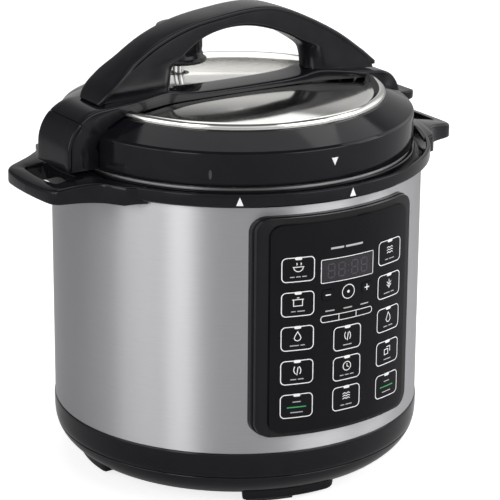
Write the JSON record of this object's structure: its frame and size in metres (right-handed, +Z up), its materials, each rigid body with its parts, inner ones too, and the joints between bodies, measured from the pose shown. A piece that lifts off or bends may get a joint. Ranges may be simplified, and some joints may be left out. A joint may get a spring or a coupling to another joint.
{
  "type": "electric pressure cooker",
  "caption": "Upright electric pressure cooker: steel body, black collar with loop handles, curved key panel, locking lid with arched grip, steam valve and lift-out pot.",
  "frame": {"origin": "on the vertical axis of the body, in the plane that the feet stand on", "axes": "+Z up; the control panel faces -Y; the loop handles and the lid arm lie along X"},
  "size_m": [0.335, 0.302, 0.3259],
  "materials": {
    "sleeve_steel": "fine circumferential brushing",
    "black_gloss": "glossy moulded black",
    "black_satin": "satin moulded black",
    "black_matt": "fine matt",
    "panel_black": "printed overlay film",
    "display_glass": "smoked window",
    "foot_rubber": "matt",
    "screw_steel": "plated",
    "liner_steel": "rolled sheet",
    "pot_steel": "brushed inside",
    "polished_steel": "polished",
    "heater_aluminium": "cast and turned",
    "element_steel": "oxidised tube",
    "board_green": "circuit board",
    "white_plastic": "moulded",
    "clear_plastic": "clear moulded",
    "silicone": "translucent silicone",
    "float_red": "signal red"
  },
  "bodies": {
    "base": {"outer_sleeve": "sleeve_steel", "base_bowl": "black_gloss", "bottom_cover": "black_matt", "rubber_feet": "foot_rubber", "base_screws": "screw_steel", "collar_ring": "black_gloss", "outer_pot": "liner_steel", "heating_plate": "heater_aluminium", "heating_element": "element_steel", "sensor_spring": "screw_steel", "pressure_leaf": "liner_steel", "pressure_switch": "white_plastic", "thermal_fuse": "white_plastic", "power_board": "board_green", "panel_bezel": "black_gloss", "face_plate": "panel_black", "display_window": "display_glass", "control_board": "board_green", "tact_switches": "black_matt", "display_module": "white_plastic", "mains_inlet": "black_matt", "inlet_pins": "screw_steel", "cup_bracket": "black_gloss"},
    "seal": {"sealing_ring": "silicone"},
    "lid": {"lid_shell": "black_gloss", "lid_disc": "polished_steel", "lid_arm": "black_gloss", "nose_cap": "black_gloss", "grip_lower": "black_satin", "grip_upper": "black_satin", "pressure_lid": "liner_steel", "ring_rack": "screw_steel", "exhaust_pipe": "screw_steel", "anti_block_shield": "liner_steel", "lid_screws": "screw_steel", "arm_screws": "screw_steel", "grip_screws": "screw_steel"},
    "pot": {"inner_pot": "pot_steel"},
    "sensor": {"temperature_sensor": "heater_aluminium"},
    "valve": {"valve_knob": "black_satin"},
    "float": {"float_valve": "float_red", "float_seal": "silicone"},
    "cup": {"condensation_cup": "clear_plastic"},
    "key_left_1": {"key_left_1": "panel_black"},
    "key_left_2": {"key_left_2": "panel_black"},
    "key_left_3": {"key_left_3": "panel_black"},
    "key_left_4": {"key_left_4": "panel_black"},
    "key_left_5": {"key_left_5": "panel_black"},
    "key_mid_1": {"key_mid_1": "panel_black"},
    "key_mid_2": {"key_mid_2": "panel_black"},
    "key_mid_3": {"key_mid_3": "panel_black"},
    "key_right_1": {"key_right_1": "panel_black"},
    "key_right_2": {"key_right_2": "panel_black"},
    "key_right_3": {"key_right_3": "panel_black"},
    "key_right_4": {"key_right_4": "panel_black"},
    "key_right_5": {"key_right_5": "panel_black"},
    "key_minus": {"key_minus": "panel_black"},
    "key_select": {"key_select": "panel_black"},
    "key_plus": {"key_plus": "panel_black"}
  },
  "joints": [
    {"name": "lid_lift", "type": "slide", "parent": "base", "child": "seal", "axis": [0, 0, 1], "range_m": [0, 0.4]},
    {"name": "lid_turn", "type": "hinge", "parent": "seal", "child": "lid", "pos_m": [0, 0, 0.25], "axis": [0, 0, 1], "range_deg": [-33.5, 0]},
    {"name": "pot_lift", "type": "slide", "parent": "base", "child": "pot", "axis": [0, 0, 1], "range_m": [0, 0.18]},
    {"name": "sensor_rise", "type": "slide", "parent": "base", "child": "sensor", "axis": [0, 0, 1], "range_m": [0, 0.003], "deforming": ["sensor_spring"]},
    {"name": "valve_turn", "type": "hinge", "parent": "lid", "child": "valve", "pos_m": [-0.01, 0.062, 0.28], "axis": [0, 0, 1], "range_deg": [-30, 30]},
    {"name": "float_rise", "type": "slide", "parent": "lid", "child": "float", "axis": [0, 0, 1], "range_m": [0, 0.0044]},
    {"name": "cup_slide", "type": "slide", "parent": "base", "child": "cup", "axis": [0, 0, -1], "range_m": [0, 0.06]},
    {"name": "key_left_1_press", "type": "slide", "parent": "base", "child": "key_left_1", "axis": [0, 1, 0], "range_m": [0, 0.0005], "stiffness_N_per_m": 400, "springref_m": -0.0004},
    {"name": "key_left_2_press", "type": "slide", "parent": "base", "child": "key_left_2", "axis": [0, 1, 0], "range_m": [0, 0.0005], "stiffness_N_per_m": 400, "springref_m": -0.0004},
    {"name": "key_left_3_press", "type": "slide", "parent": "base", "child": "key_left_3", "axis": [0, 1, 0], "range_m": [0, 0.0005], "stiffness_N_per_m": 400, "springref_m": -0.0004},
    {"name": "key_left_4_press", "type": "slide", "parent": "base", "child": "key_left_4", "axis": [0, 1, 0], "range_m": [0, 0.0005], "stiffness_N_per_m": 400, "springref_m": -0.0004},
    {"name": "key_left_5_press", "type": "slide", "parent": "base", "child": "key_left_5", "axis": [0, 1, 0], "range_m": [0, 0.0005], "stiffness_N_per_m": 400, "springref_m": -0.0004},
    {"name": "key_mid_1_press", "type": "slide", "parent": "base", "child": "key_mid_1", "axis": [0, 1, 0], "range_m": [0, 0.0005], "stiffness_N_per_m": 400, "springref_m": -0.0004},
    {"name": "key_mid_2_press", "type": "slide", "parent": "base", "child": "key_mid_2", "axis": [0, 1, 0], "range_m": [0, 0.0005], "stiffness_N_per_m": 400, "springref_m": -0.0004},
    {"name": "key_mid_3_press", "type": "slide", "parent": "base", "child": "key_mid_3", "axis": [0, 1, 0], "range_m": [0, 0.0005], "stiffness_N_per_m": 400, "springref_m": -0.0004},
    {"name": "key_right_1_press", "type": "slide", "parent": "base", "child": "key_right_1", "axis": [0, 1, 0], "range_m": [0, 0.0005], "stiffness_N_per_m": 400, "springref_m": -0.0004},
    {"name": "key_right_2_press", "type": "slide", "parent": "base", "child": "key_right_2", "axis": [0, 1, 0], "range_m": [0, 0.0005], "stiffness_N_per_m": 400, "springref_m": -0.0004},
    {"name": "key_right_3_press", "type": "slide", "parent": "base", "child": "key_right_3", "axis": [0, 1, 0], "range_m": [0, 0.0005], "stiffness_N_per_m": 400, "springref_m": -0.0004},
    {"name": "key_right_4_press", "type": "slide", "parent": "base", "child": "key_right_4", "axis": [0, 1, 0], "range_m": [0, 0.0005], "stiffness_N_per_m": 400, "springref_m": -0.0004},
    {"name": "key_right_5_press", "type": "slide", "parent": "base", "child": "key_right_5", "axis": [0, 1, 0], "range_m": [0, 0.0005], "stiffness_N_per_m": 400, "springref_m": -0.0004},
    {"name": "key_minus_press", "type": "slide", "parent": "base", "child": "key_minus", "axis": [0, 1, 0], "range_m": [0, 0.0005], "stiffness_N_per_m": 400, "springref_m": -0.0004},
    {"name": "key_select_press", "type": "slide", "parent": "base", "child": "key_select", "axis": [0, 1, 0], "range_m": [0, 0.0005], "stiffness_N_per_m": 400, "springref_m": -0.0004},
    {"name": "key_plus_press", "type": "slide", "parent": "base", "child": "key_plus", "axis": [0, 1, 0], "range_m": [0, 0.0005], "stiffness_N_per_m": 400, "springref_m": -0.0004}
  ],
  "couplings": [
    {"joint": "pot_lift", "follows": "lid_lift", "ratio": 0.45},
    {"joint": "sensor_rise", "follows": "lid_lift", "ratio": 0.0075}
  ]
}
